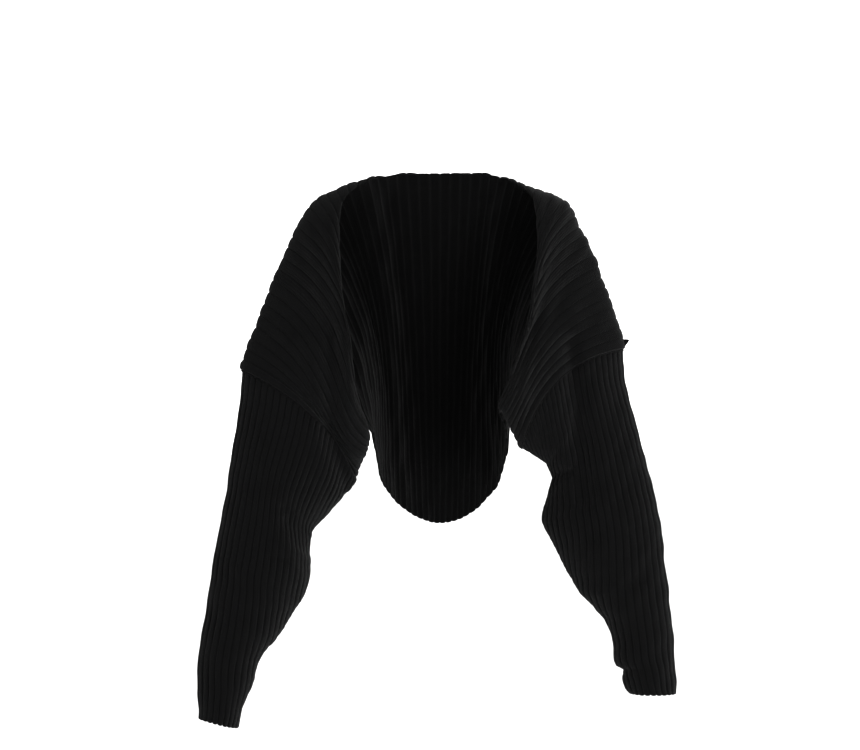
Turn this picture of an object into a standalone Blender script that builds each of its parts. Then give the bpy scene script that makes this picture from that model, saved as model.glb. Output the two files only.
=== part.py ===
"""Cropped rib-knit top, worn: one wide rib panel that lies across the back,
over both shoulders and round the upper arms, and two tapered rib sleeves.

The panel's ribs run round the arms, side by side from one sleeve seam to the
other. Its top edge is the neck and front opening, its bottom edge is the back
hem, and the two edges are joined for a short way under each arm. The sleeves'
ribs run along the arms and end on the tapered underarm seam.

Front is -Y, up is +Z, and the origin is where the shoulders carry the knit.
The tables are in millimetres and degrees; left and right are as seen from the
front. A slant is measured from straight down, positive towards +X.
"""
import bpy
import numpy as np

MM = 0.001

# The knit
RIB_RELIEF = 2.4            # height of a rib over the groove beside it
WALL = 2.2                  # cloth under the grooves
SEAM_GAP = 0.8              # between the panel and a sleeve
SIDE_RIBS = 28              # panel ribs from the centre back to a sleeve seam
OPEN_RIBS = 20              # of these, the ones that end on the opening and hem
RIB_PROFILE = ((0.0, 0.0), (0.22, 1.0), (0.78, 1.0))    # place in rib, height share
PANEL_STEP = 28.0           # between the points along a panel rib
SLEEVE_ROWS = 15            # steps along a sleeve
SLEEVE_ROW_POWER = 1.25     # closer together near the seam, where the cloth folds
SLEEVE_POINTS_PER_RIB = 2   # one on the rib, one in the groove
SEAM_RIBS = 24              # sleeve ribs from the outer line to the underarm, at the top
CUFF_RIBS = 10              # the same at the cuff
NEAR_END = 0.3              # steps closer than this to an end are left out
LIP_RIBS = 0.5              # width of the raised seam edge, in ribs
LIP_HEIGHT = {-1: 4.0, 1: 6.5}     # how far that edge stands up, left and right

# How a rib leaves the ridge and reaches its end, as shares of its span
LEAVE_PULL = 0.5
REACH_PULL = 0.25
PATH_POINTS = 81

# Ridge of the worn panel, from the left seam over the shoulders to the right
RIDGE = (  # rib, x, y, z
    (-28, -306, -12, -302),
    (-26, -299, -11, -270),
    (-23, -280, -9, -217),
    (-20, -259, -6, -163),
    (-18, -244, -4, -128),
    (-16, -230, -2, -96),
    (-14, -214, 0, -64),
    (-12, -192, 4, -37),
    (-10, -162, 8, -21),
    (-8, -129, 14, -8),
    (-5, -86, 42, 3),
    (0, 0, 62, 7),
    (5, 81, 43, 4),
    (8, 121, 16, -8),
    (10, 148, 8, -20),
    (12, 178, 4, -32),
    (14, 204, 0, -50),
    (16, 217, -2, -80),
    (18, 232, -4, -107),
    (20, 246, -6, -142),
    (23, 263, -9, -190),
    (26, 277, -11, -238),
    (28, 283, -12, -270),
)

# Top edge of the panel: the neck and front opening, then the underarm join
EDGE = (  # rib, x, y, z
    (-28, -133, 2, -478),
    (-26, -126, 2, -458),
    (-23, -114, 2, -430),
    (-20, -110, 2, -395),
    (-18, -128, -34, -326),
    (-16, -138, -56, -256),
    (-14, -147, -66, -188),
    (-12, -153, -56, -118),
    (-10, -150, -24, -47),
    (-8, -127, 4, -17),
    (-5, -85, 37, 1),
    (0, 0, 62, 7),
    (5, 80, 38, 2),
    (8, 120, 4, -16),
    (10, 143, -22, -41),
    (12, 148, -56, -105),
    (14, 141, -76, -170),
    (16, 132, -86, -234),
    (18, 112, -82, -293),
    (20, 91, -62, -350),
    (23, 98, -56, -374),
    (26, 112, -42, -402),
    (28, 124, -32, -423),
)

# Bottom edge of the panel: the back hem between the two underarm joins
HEM = (  # rib, x, y, z
    (-20, -110, 2, -395),
    (-18, -104, 20, -410),
    (-16, -101, 40, -431),
    (-13, -96, 64, -462),
    (-10, -86, 84, -490),
    (-5, -46, 106, -530),
    (0, 0, 114, -545),
    (5, 48, 106, -530),
    (10, 92, 80, -482),
    (12, 101, 64, -454),
    (14, 107, 44, -426),
    (16, 104, 12, -396),
    (18, 95, -24, -370),
    (20, 91, -62, -350),
)

# How the ribs fall from the ridge, to the front and to the back
FALL = (  # rib, front leave, front reach, front depth, back leave, back reach,
    #       back depth, power at the ridge, power at the end
    (-28, 66, 13, 44, 64, 15, 46, 0.5, 0.58),
    (-23, 60, 72, 48, 55, 45, 52, 0.5, 0.58),
    (-20, 57, 50, 50, 52, 35, 58, 0.5, 0.62),
    (-18, 54, 20, 46, 48, 18, 62, 0.5, 0.85),
    (-14, 46, 15, 38, 40, 8, 68, 0.5, 1.0),
    (-12, 40, 11, 26, 33, 5, 68, 0.5, 1.0),
    (-10, 30, 4, 12, 24, 4, 62, 0.52, 1.0),
    (-5, 8, 2, 1, 8, 3, 40, 0.7, 1.0),
    (0, 0, 0, 0, 0, 0, 26, 1.0, 1.0),
    (5, -8, -2, 1, -8, -3, 40, 0.7, 1.0),
    (10, -24, -4, 12, -24, -4, 62, 0.52, 1.0),
    (12, -28, -7, 26, -33, -5, 68, 0.5, 1.0),
    (14, -42, -16, 34, -40, -8, 68, 0.5, 1.0),
    (16, -54, -25, 36, -46, -14, 66, 0.5, 0.95),
    (18, -60, -34, 38, -50, -26, 62, 0.5, 0.8),
    (20, -64, -38, 42, -54, -55, 58, 0.5, 0.62),
    (23, -72, -34, 46, -64, -48, 54, 0.5, 0.58),
    (28, -82, -14, 46, -82, -14, 46, 0.5, 0.58),
)

# Sleeves below the seam, a row for each section from the ridge to the underarm
SLEEVE_LEFT = (  # length, ridge x, y, z, underarm x, y, z, leave, reach, front, back depth
    (50, -309, -13, -346, -158, 2, -502, 63, 12, 45, 47),
    (98, -316, -15, -392, -184, 0, -534, 60, 26, 46, 48),
    (150, -325, -18, -442, -202, -4, -566, 58, 38, 48, 49),
    (224, -335, -24, -514, -199, -10, -603, 60, 50, 50, 49),
    (298, -347, -32, -586, -215, -18, -657, 62, 58, 47, 46),
    (380, -359, -40, -666, -252, -28, -712, 68, 64, 41, 41),
    (462, -370, -48, -747, -281, -38, -757, 82, 82, 36, 37),
    (509, -371, -52, -793, -294, -44, -799, 84, 84, 32, 33),
    (554, -366, -55, -836, -309, -49, -847, 78, 78, 29, 30),
)
SLEEVE_RIGHT = (
    (54, 286, -13, -321, 155, -20, -442, -72, -26, 46, 47),
    (99, 296, -15, -365, 177, -10, -460, -67, -38, 46, 47),
    (150, 307, -18, -414, 168, -2, -490, -66, -56, 47, 48),
    (206, 322, -22, -468, 158, -4, -530, -70, -64, 49, 50),
    (264, 337, -28, -524, 177, -12, -577, -72, -68, 50, 50),
    (336, 346, -36, -594, 206, -22, -631, -76, -74, 46, 46),
    (398, 353, -42, -655, 244, -32, -672, -82, -82, 41, 41),
    (453, 358, -47, -709, 266, -40, -727, -82, -82, 38, 38),
    (484, 360, -49, -739, 273, -43, -752, -86, -86, 36, 36),
    (515, 362, -51, -770, 279, -46, -775, -86, -86, 35, 35),
    (545, 362, -54, -799, 293, -50, -797, -90, -90, 33, 33),
)

# Troughs that the slack cloth falls into, across the view from the front
FRONT_FOLDS = (  # start x, z, end x, z, width, depth
    (-168, -250, -170, -388, 15, 10),
    (-168, -388, -146, -480, 15, 16),
    (-203, -551, -232, -535, 9, 10),
    (200, -262, 206, -320, 14, 12),
    (206, -320, 220, -500, 17, 14),
    (178, -468, 218, -452, 9, 12),
)
BACK_FOLDS = (
    (-205, -300, -172, -470, 15, 14),
    (-200, -560, -236, -548, 10, 9),
    (196, -290, 190, -440, 15, 14),
    (172, -500, 214, -482, 10, 9),
)

SHARP_ANGLE = 50            # edges that turn more than this stay sharp
KNIT_COLOUR = (0.012, 0.012, 0.013, 1.0)
KNIT_ROUGHNESS = 0.9


def smooth_rows(table, places):
    """The columns of a table at new places in its first: a smooth curve through its rows."""
    rows = np.array(table, dtype=float)
    keys, values = rows[:, 0], rows[:, 1:]
    slopes = np.gradient(values, keys, axis=0)
    low = np.clip(np.searchsorted(keys, places, side="right") - 1, 0, len(keys) - 2)
    span = (keys[low + 1] - keys[low])[:, None]
    share = (np.asarray(places, dtype=float)[:, None] - keys[low][:, None]) / span
    rise = 3 * share**2 - 2 * share**3
    start_pull = span * slopes[low] * share * (1 - share) ** 2
    end_pull = -span * slopes[low + 1] * share**2 * (1 - share)
    return values[low] * (1 - rise) + values[low + 1] * rise + start_pull + end_pull


def fold_depth(folds, x, z):
    """How far the troughs push in the cloth at x and z: a soft valley along each line."""
    push = np.zeros_like(x)
    for start_x, start_z, end_x, end_z, width, depth in folds:
        run_x, run_z = end_x - start_x, end_z - start_z
        along = ((x - start_x) * run_x + (z - start_z) * run_z) / (run_x**2 + run_z**2)
        along = np.clip(along, 0.0, 1.0)
        away = np.hypot(x - start_x - along * run_x, z - start_z - along * run_z)
        push = np.maximum(push, depth * np.exp(-((away / width) ** 2)))
    return push


def fall_path(ridge, end, leave, reach, depth, ridge_power, end_power, facing, folds):
    """Cloth from the ridge to its end: a Bezier curve in the front view, bulged by depth.

    The bulge is share**ridge_power * (1 - share)**end_power, scaled to a peak of 1.
    """
    share = (1 - np.cos(np.linspace(0, np.pi, PATH_POINTS))) / 2
    run = end - ridge
    span = np.hypot(run[:, 0], run[:, 2])[:, None]
    leave_way = np.radians(leave)[:, None]
    reach_way = np.radians(reach)[:, None]
    leave_x = ridge[:, :1] + LEAVE_PULL * span * np.sin(leave_way)
    leave_z = ridge[:, 2:] - LEAVE_PULL * span * np.cos(leave_way)
    reach_x = end[:, :1] - REACH_PULL * span * np.sin(reach_way)
    reach_z = end[:, 2:] + REACH_PULL * span * np.cos(reach_way)
    weights = ((1 - share) ** 3, 3 * share * (1 - share) ** 2, 3 * share**2 * (1 - share), share**3)
    x = sum(w * p for w, p in zip(weights, (ridge[:, :1], leave_x, reach_x, end[:, :1])))
    z = sum(w * p for w, p in zip(weights, (ridge[:, 2:], leave_z, reach_z, end[:, 2:])))
    first, last = ridge_power[:, None], end_power[:, None]
    peak = first / (first + last)
    bulge = share**first * (1 - share) ** last / (peak**first * (1 - peak) ** last)
    push = fold_depth(folds, x, z) * np.sqrt(bulge)
    y = ridge[:, 1:2] + run[:, 1:2] * share + facing * (depth[:, None] * bulge - push)
    return np.stack((x, y, z), axis=2)


def path_length(path):
    return np.linalg.norm(np.diff(path, axis=0), axis=1).sum()


def at_share(path, share, values):
    """What values, which belong to a path's points, are at a share of the path's length."""
    steps = np.linalg.norm(np.diff(path, axis=0), axis=1)
    length = np.concatenate(([0.0], np.cumsum(steps)))
    return np.array([np.interp(share * length[-1], length, values[:, axis]) for axis in range(3)])


def panel_halves(ribs):
    """Front and back paths of the panel's ribs, each from the ridge to its end."""
    ridge = smooth_rows(RIDGE, ribs)
    edge = smooth_rows(EDGE, ribs)
    fall = smooth_rows(FALL, ribs)
    hem = smooth_rows(HEM, np.clip(ribs, -OPEN_RIBS, OPEN_RIBS))
    joined = np.abs(ribs) >= OPEN_RIBS
    hem[joined] = edge[joined]
    powers = fall[:, 6], fall[:, 7]
    front = fall_path(ridge, edge, *fall[:, 0:3].T, *powers, -1, FRONT_FOLDS)
    back = fall_path(ridge, hem, *fall[:, 3:6].T, *powers, 1, BACK_FOLDS)
    return front, back


def lay_steps(front, back, front_counts, back_counts, joined):
    """Vertices on each line at even steps from its ridge, to the front and to the back.

    A line has room for front_counts and back_counts steps, which needn't be whole.
    A step past an end, or close to it, is the end's own vertex, and a joined line's
    two ends are one vertex. Returns the points and each line's vertices by step.
    """
    most_front = int(np.ceil(front_counts.max()))
    most_back = int(np.ceil(back_counts.max()))
    index = np.zeros((len(front), most_front + most_back + 1), dtype=int)
    points = []
    for line, (before, after) in enumerate(zip(front, back)):
        front_end = len(points)
        points.append(before[-1])
        back_end = front_end
        if not joined[line]:
            back_end = len(points)
            points.append(after[-1])
        for step in range(-most_front, most_back + 1):
            path, count, end = (before, front_counts[line], front_end)
            if step > 0:
                path, count, end = (after, back_counts[line], back_end)
            if abs(step) > count - NEAR_END:
                index[line, step + most_front] = end
            else:
                index[line, step + most_front] = len(points)
                points.append(at_share(path, abs(step) / count, path))
    return np.array(points), index


def corner_normals(points, faces):
    """Unit normals at the points of a mesh of quads, each the mean of its faces."""
    quads = np.array(faces)
    crossed = np.cross(points[quads[:, 2]] - points[quads[:, 0]],
                       points[quads[:, 3]] - points[quads[:, 1]])
    normals = np.zeros_like(points)
    for corner in range(4):
        np.add.at(normals, quads[:, corner], crossed)
    return normals / np.maximum(np.linalg.norm(normals, axis=1), 1e-9)[:, None]


def stitch(faces, first, second):
    """Close the strip between two rows of (place, vertex) with triangles.

    Each vertex of the first row joins the one of the second whose place is nearest.
    """
    a = b = 0
    while a < len(first) - 1 or b < len(second) - 1:
        next_a = first[a + 1][0] if a + 1 < len(first) else np.inf
        turn_b = (second[b][0] + second[b + 1][0]) / 2 if b + 1 < len(second) else np.inf
        if next_a <= turn_b:
            faces.append((first[a][1], first[a + 1][1], second[b][1]))
            a += 1
        else:
            faces.append((first[a][1], second[b + 1][1], second[b][1]))
            b += 1


def trimmed(faces):
    """Faces without repeated corners, and none with fewer than three."""
    kept = []
    for face in faces:
        corners = tuple(dict.fromkeys(int(corner) for corner in face))
        if len(corners) > 2:
            kept.append(corners)
    return kept


def split_quads(quads):
    """Two triangles for each quad, which may have corners that are one vertex."""
    triangles = []
    for a, b, c, d in quads:
        triangles += [(a, b, c), (a, c, d)]
    return trimmed(triangles)


def grid_quads(index, line_stride, step_stride):
    """Corners of the quads between lines and steps, some of which may be one vertex."""
    lines, steps = index.shape
    return [
        (index[i, j], index[i + line_stride, j], index[i + line_stride, j + step_stride],
         index[i, j + step_stride])
        for i in range(0, lines - 1, line_stride) for j in range(0, steps - 1, step_stride)
    ]


def wall(points, normals, lift, outer_quads, inner_quads, strips):
    """A closed wall: the lifted outer points, a plain inner side and strips along its rims.

    A strip is (outer row, inner row, turn), each row a list of (place, vertex).
    """
    count = len(points)
    outer = points + normals * lift[:, None]
    inner = points - normals * (RIB_RELIEF + WALL)
    faces = split_quads(outer_quads)
    faces += [face[::-1] for face in split_quads(
        [[corner + count for corner in quad] for quad in inner_quads])]
    for outer_row, inner_row, turn in strips:
        strip = []
        stitch(strip, outer_row, [(place, vertex + count) for place, vertex in inner_row])
        faces += [face[::turn] for face in trimmed(strip)]
    return np.concatenate((outer, inner)), faces


def panel_steps(ribs):
    front, back = panel_halves(ribs)
    front_counts = np.array([path_length(path) for path in front]) / PANEL_STEP
    back_counts = np.array([path_length(path) for path in back]) / PANEL_STEP
    return lay_steps(front, back, front_counts, back_counts, np.abs(ribs) >= OPEN_RIBS)


def once_round(vertices):
    """A joined line's vertices in order, its end first and last, without repeats between."""
    inside = list(dict.fromkeys(int(vertex) for vertex in vertices))
    return inside + inside[:1]


def seam_ring(side):
    """The panel's end ring at a sleeve: its points, their outward ways and the sleeve's way."""
    ribs = np.array([side * SIDE_RIBS], dtype=float)
    points, index = panel_steps(ribs)
    ring = points[once_round(index[0])]
    chord = smooth_rows(EDGE, ribs)[0] - smooth_rows(RIDGE, ribs)[0]
    onward = np.array([side * abs(chord[2]), 0.0, -abs(chord[0])])
    onward /= np.linalg.norm(onward)
    loop = ring[:-1]
    outward = -side * np.cross(np.roll(loop, -1, axis=0) - np.roll(loop, 1, axis=0), onward)
    outward /= np.linalg.norm(outward, axis=1)[:, None]
    return ring, np.concatenate((outward, outward[:1])), onward


def make_panel():
    """The panel as a closed wall, ribbed on its outer side and plain on its inner side."""
    ribs = [rib + place for rib in range(-SIDE_RIBS, SIDE_RIBS) for place, _ in RIB_PROFILE]
    ribs = np.array(ribs + [SIDE_RIBS], dtype=float)
    heights = np.array([height for _ in range(2 * SIDE_RIBS) for _, height in RIB_PROFILE] + [0.0])
    points, index = panel_steps(ribs)
    stride = len(RIB_PROFILE)
    quads = grid_quads(index, 1, 1)
    normals = corner_normals(points, quads)
    ends = (0, -1), (-1, 1)
    for line, side in ends:
        normals[once_round(index[line])] = seam_ring(side)[1]
    lift = np.zeros(len(points))
    for line, rib in enumerate(ribs):
        if SIDE_RIBS - abs(rib) < LIP_RIBS:
            lift[index[line]] = LIP_HEIGHT[int(np.sign(rib))]
        else:
            lift[index[line]] = (heights[line] - 1) * RIB_RELIEF
    strips = []
    for line, side in ends:
        ring = list(enumerate(index[line]))
        strips.append((ring, ring, -side))
    open_lines = [line for line, rib in enumerate(ribs) if abs(rib) <= OPEN_RIBS]
    for step, turn in ((0, -1), (-1, 1)):
        outer_row = [(ribs[line], index[line, step]) for line in open_lines]
        inner_row = [(ribs[line], index[line, step]) for line in open_lines if line % stride == 0]
        strips.append((outer_row, inner_row, turn))
    return wall(points, normals, lift, quads, grid_quads(index, stride, 1), strips)


def sleeve_shares():
    """Places of a sleeve's rows, as shares of its length from the seam."""
    return np.linspace(0, 1, SLEEVE_ROWS + 1) ** SLEEVE_ROW_POWER


def sleeve_halves(side):
    """Front and back half rings of a sleeve, from the panel's seam to the cuff."""
    table = SLEEVE_LEFT if side < 0 else SLEEVE_RIGHT
    rib = np.array([side * SIDE_RIBS], dtype=float)
    ridge, edge = smooth_rows(RIDGE, rib)[0], smooth_rows(EDGE, rib)[0]
    fall = smooth_rows(FALL, rib)[0]
    seam_row = (0, *ridge, *edge, fall[0], fall[1], fall[2], fall[5])
    rows = smooth_rows((seam_row,) + table, sleeve_shares() * table[-1][0])
    ridge, edge, leave, reach = rows[:, 0:3], rows[:, 3:6], rows[:, 6], rows[:, 7]
    powers = np.full(len(rows), fall[6]), np.full(len(rows), fall[7])
    front = fall_path(ridge, edge, leave, reach, rows[:, 8], *powers, -1, FRONT_FOLDS)
    back = fall_path(ridge, edge, leave, reach, rows[:, 9], *powers, 1, BACK_FOLDS)
    return list(front), list(back)


def make_sleeve(side):
    """A sleeve as a closed tube wall: ribs at an even pitch end on the underarm seam."""
    front, back = sleeve_halves(side)
    ring, outward, onward = seam_ring(side)
    top = int(np.argmin(np.linalg.norm(ring - front[0][0], axis=1)))
    front[0], back[0] = ring[top::-1] + onward * SEAM_GAP, ring[top:] + onward * SEAM_GAP
    counts = SEAM_RIBS + (CUFF_RIBS - SEAM_RIBS) * sleeve_shares()
    counts = counts * SLEEVE_POINTS_PER_RIB
    points, index = lay_steps(front, back, counts, counts, np.full(len(counts), True))
    quads = [quad[::side] for quad in grid_quads(index, 1, 1)]
    normals = corner_normals(points, quads)
    middle = index.shape[1] // 2
    for place, vertex in enumerate(index[0]):
        share = min(abs(place - middle) / counts[0], 1.0)
        half, ways = (front[0], outward[top::-1]) if place < middle else (back[0], outward[top:])
        way = at_share(half, share, ways)
        normals[vertex] = way / np.linalg.norm(way)
    lift = np.full(len(points), -RIB_RELIEF)
    on_rib = range(middle % SLEEVE_POINTS_PER_RIB, index.shape[1], SLEEVE_POINTS_PER_RIB)
    lift[index[:, on_rib]] = 0.0
    inner_quads = [quad[::side] for quad in grid_quads(index, 1, SLEEVE_POINTS_PER_RIB)]
    strips = []
    for row, turn in ((0, side), (-1, -side)):
        ring_row = list(enumerate(index[row]))
        strips.append((ring_row, ring_row[::SLEEVE_POINTS_PER_RIB], turn))
    return wall(points, normals, lift, quads, inner_quads, strips)


def make_material(name):
    """Plain black wool for one piece."""
    material = bpy.data.materials.new(name)
    material.use_nodes = True
    shader = material.node_tree.nodes["Principled BSDF"]
    shader.inputs["Base Color"].default_value = KNIT_COLOUR
    shader.inputs["Roughness"].default_value = KNIT_ROUGHNESS
    shader.inputs["Metallic"].default_value = 0.0
    material.diffuse_color = KNIT_COLOUR
    return material


def add_piece(name, points, faces):
    """Put a closed wall into the scene as an object of its own, with loose points left out."""
    used = sorted({corner for face in faces for corner in face})
    renumbered = {old: new for new, old in enumerate(used)}
    mesh = bpy.data.meshes.new(name)
    mesh.from_pydata(
        (points[used] * MM).tolist(), [],
        [tuple(renumbered[corner] for corner in face) for face in faces],
    )
    mesh.materials.append(make_material(name + "_knit"))
    mesh.validate()
    mesh.shade_smooth()
    mesh.set_sharp_from_angle(angle=np.radians(SHARP_ANGLE))
    piece = bpy.data.objects.new(name, mesh)
    bpy.context.scene.collection.objects.link(piece)


def main():
    for leftover in list(bpy.data.objects):
        bpy.data.objects.remove(leftover)
    add_piece("body_panel", *make_panel())
    add_piece("sleeve_left", *make_sleeve(-1))
    add_piece("sleeve_right", *make_sleeve(1))


main()
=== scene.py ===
import math
import bpy
import numpy as np
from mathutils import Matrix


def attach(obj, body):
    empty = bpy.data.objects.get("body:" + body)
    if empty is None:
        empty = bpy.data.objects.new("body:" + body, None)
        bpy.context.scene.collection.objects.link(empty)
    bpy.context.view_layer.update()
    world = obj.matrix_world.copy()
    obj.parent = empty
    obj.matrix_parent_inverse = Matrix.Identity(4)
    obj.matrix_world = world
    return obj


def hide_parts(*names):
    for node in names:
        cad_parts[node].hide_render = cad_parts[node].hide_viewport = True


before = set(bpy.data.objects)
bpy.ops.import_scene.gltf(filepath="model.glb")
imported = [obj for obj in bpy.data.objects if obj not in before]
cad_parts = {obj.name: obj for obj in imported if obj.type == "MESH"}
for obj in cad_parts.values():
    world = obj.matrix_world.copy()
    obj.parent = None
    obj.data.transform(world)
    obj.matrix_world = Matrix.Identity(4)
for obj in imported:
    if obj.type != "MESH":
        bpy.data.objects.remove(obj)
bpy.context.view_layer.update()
print("frame loaded:", sorted(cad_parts))

# The tables are in millimetres, front is -Y and up is +Z, left and right are as seen from the front
mm = 0.001

# Ridge of the worn panel, from the left seam over the shoulders to the right
ridgeTable = (  # rib, x, y, z
    (-28, -306, -12, -302),
    (-26, -299, -11, -270),
    (-23, -280, -9, -217),
    (-20, -259, -6, -163),
    (-18, -244, -4, -128),
    (-16, -230, -2, -96),
    (-14, -214, 0, -64),
    (-12, -192, 4, -37),
    (-10, -162, 8, -21),
    (-8, -129, 14, -8),
    (-5, -86, 42, 3),
    (0, 0, 62, 7),
    (5, 81, 43, 4),
    (8, 121, 16, -8),
    (10, 148, 8, -19),
    (12, 178, 4, -30),
    (14, 204, 0, -48),
    (16, 217, -2, -80),
    (18, 232, -4, -107),
    (20, 246, -6, -142),
    (23, 263, -9, -190),
    (26, 277, -11, -238),
    (28, 283, -12, -270),
)

# Top edge of the panel: the neck and front opening, then the underarm join
edgeTable = (  # rib, x, y, z
    (-28, -133, 2, -478),
    (-26, -126, 2, -458),
    (-23, -114, 2, -430),
    (-20, -110, 2, -395),
    (-18, -128, -34, -326),
    (-16, -138, -56, -256),
    (-14, -147, -66, -188),
    (-12, -153, -56, -118),
    (-10, -150, -24, -47),
    (-8, -127, 4, -17),
    (-5, -85, 37, 1),
    (0, 0, 62, 7),
    (5, 80, 38, 2),
    (8, 120, 4, -16),
    (10, 143, -22, -41),
    (12, 148, -56, -105),
    (14, 141, -76, -170),
    (16, 132, -86, -234),
    (18, 112, -82, -293),
    (20, 91, -62, -350),
    (23, 98, -56, -374),
    (26, 112, -42, -402),
    (28, 124, -32, -423),
)

# Bottom edge of the panel: the back hem between the two underarm joins
hemTable = (  # rib, x, y, z
    (-20, -110, 2, -395),
    (-18, -104, 20, -410),
    (-16, -101, 40, -431),
    (-13, -96, 64, -462),
    (-10, -86, 84, -490),
    (-5, -46, 106, -530),
    (0, 0, 114, -545),
    (5, 48, 106, -530),
    (10, 92, 80, -482),
    (12, 101, 64, -454),
    (14, 107, 44, -426),
    (16, 104, 12, -396),
    (18, 95, -24, -370),
    (20, 91, -62, -350),
)

# How the ribs fall from the ridge, to the front and to the back; slants from straight down
fallTable = (  # rib, front leave, reach, depth, back leave, reach, depth, power at ridge, at end
    (-28, 66, 13, 44, 64, 15, 46, 0.5, 0.58),
    (-23, 60, 72, 48, 55, 45, 52, 0.5, 0.58),
    (-20, 60, 48, 50, 52, 35, 58, 0.5, 0.62),
    (-18, 59, 16, 46, 48, 18, 62, 0.5, 0.85),
    (-14, 50, 11, 38, 40, 8, 68, 0.5, 1.0),
    (-12, 43, 9, 26, 33, 5, 68, 0.5, 1.0),
    (-10, 30, 4, 12, 24, 4, 62, 0.52, 1.0),
    (-5, 8, 2, 1, 8, 3, 40, 0.7, 1.0),
    (0, 0, 0, 0, 0, 0, 26, 1.0, 1.0),
    (5, -8, -2, 1, -8, -3, 40, 0.7, 1.0),
    (10, -24, -4, 12, -24, -4, 62, 0.52, 1.0),
    (12, -32, -5, 26, -33, -5, 68, 0.5, 1.0),
    (14, -48, -13, 34, -40, -8, 68, 0.5, 1.0),
    (16, -59, -22, 36, -46, -14, 66, 0.5, 0.95),
    (18, -65, -32, 38, -50, -26, 62, 0.5, 0.8),
    (20, -67, -37, 42, -54, -55, 58, 0.5, 0.62),
    (23, -72, -34, 46, -64, -48, 54, 0.5, 0.58),
    (28, -82, -14, 46, -82, -14, 46, 0.5, 0.58),
)

# Sleeves below the seam: length, ridge x, y, z, underarm x, y, z, leave, reach, front, back depth
sleeveTables = {
    -1: (
        (50, -309, -13, -346, -158, 2, -502, 63, 12, 45, 47),
        (98, -316, -15, -392, -184, 0, -534, 60, 26, 46, 48),
        (150, -325, -18, -442, -202, -4, -566, 58, 38, 48, 49),
        (224, -335, -24, -514, -199, -10, -603, 60, 50, 50, 49),
        (298, -347, -32, -586, -215, -18, -657, 62, 58, 47, 46),
        (380, -359, -40, -666, -252, -28, -712, 68, 64, 41, 41),
        (462, -370, -48, -747, -281, -38, -757, 82, 82, 36, 37),
        (509, -371, -52, -793, -294, -44, -799, 84, 84, 32, 33),
        (554, -366, -55, -837, -309, -49, -852, 78, 78, 29, 30),
    ),
    1: (
        (54, 286, -13, -321, 155, -20, -442, -72, -26, 46, 47),
        (99, 296, -15, -365, 177, -10, -460, -67, -38, 46, 47),
        (150, 307, -18, -414, 168, -2, -490, -66, -56, 47, 48),
        (206, 322, -22, -468, 158, -4, -530, -70, -64, 49, 50),
        (264, 337, -28, -524, 177, -12, -577, -72, -68, 50, 50),
        (336, 346, -36, -594, 206, -22, -631, -76, -74, 46, 46),
        (398, 353, -42, -655, 244, -32, -672, -82, -82, 41, 41),
        (453, 358, -47, -709, 266, -40, -727, -82, -82, 38, 38),
        (484, 360, -49, -739, 273, -43, -752, -86, -86, 36, 36),
        (515, 362, -51, -770, 279, -46, -775, -86, -86, 35, 35),
        (545, 362, -54, -799, 293, -50, -799, -90, -90, 33, 33),
    ),
}

# The small waves of a sleeve's two outlines: place down the sleeve, shift to the right
sleeveWaves = {
    (-1, "ridge"): (
        (0, 0), (110, 0), (150, 2), (195, 2), (230, 0), (270, -1), (298, -2.5), (330, 0), (440, -2),
        (480, -2.5), (505, 0), (540, -1.5), (554, -4),
    ),
    (-1, "underarm"): (
        (0, 2), (6, 4), (42, 6), (54, 7), (90, 5.5), (102, 3), (114, 0), (127, -0.5), (139, 2),
        (160, 3.5), (183, 2), (199, -0.5), (230, -0.5), (249, 2), (275, 4), (303, 2.5), (315, 0.5),
        (343, 2), (361, 4), (399, 4), (413, 1), (441, 1), (476, 1.5), (488, 3.5), (501, 2.5),
        (510, 1), (528, -2.5), (553, 0),
    ),
    (1, "ridge"): ((0, 0), (60, 1), (99, 1.5), (150, 4.5), (206, 3.5), (264, 0)),
    (1, "underarm"): (
        (0, 0), (68, 0), (80, -5.5), (96, -8.5), (107, -7), (118, -4), (139, -1.5), (180, 0.5),
        (200, -0.5), (218, -3), (233, -1.5), (264, 0), (330, 0), (345, -2.5), (357, -5.5), (367, -8),
        (386, -6.5), (402, -5), (414, 0.5), (436, 2), (451, 0), (459, -2), (470, -5), (482, -6.5),
        (490, -4.5), (498, 6), (507, 2.5), (515, 0), (524, -3), (536, -5), (545, -2),
    ),
}

# Troughs that the slack cloth falls into: start x, z, end x, z, width, depth
frontTroughs = (
    (-168, -250, -170, -388, 15, 10),
    (-168, -388, -146, -480, 15, 16),
    (-203, -551, -232, -535, 11, 7),
    (-229, -522, -239, -514, 7, 3),
    (-238, -594, -261, -588, 8, 3),
    (200, -262, 206, -320, 14, 12),
    (206, -320, 220, -500, 17, 14),
    (178, -468, 218, -452, 9, 12),
    (294, -547, 306, -545, 5, 2),
    (286, -629, 310, -626, 7, 2.5),
)
backTroughs = (
    (-205, -300, -172, -470, 15, 14),
    (-200, -560, -236, -548, 10, 9),
    (-262, -640, -282, -632, 8, 3.5),
    (196, -290, 190, -440, 15, 14),
    (172, -500, 214, -482, 10, 9),
)

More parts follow.
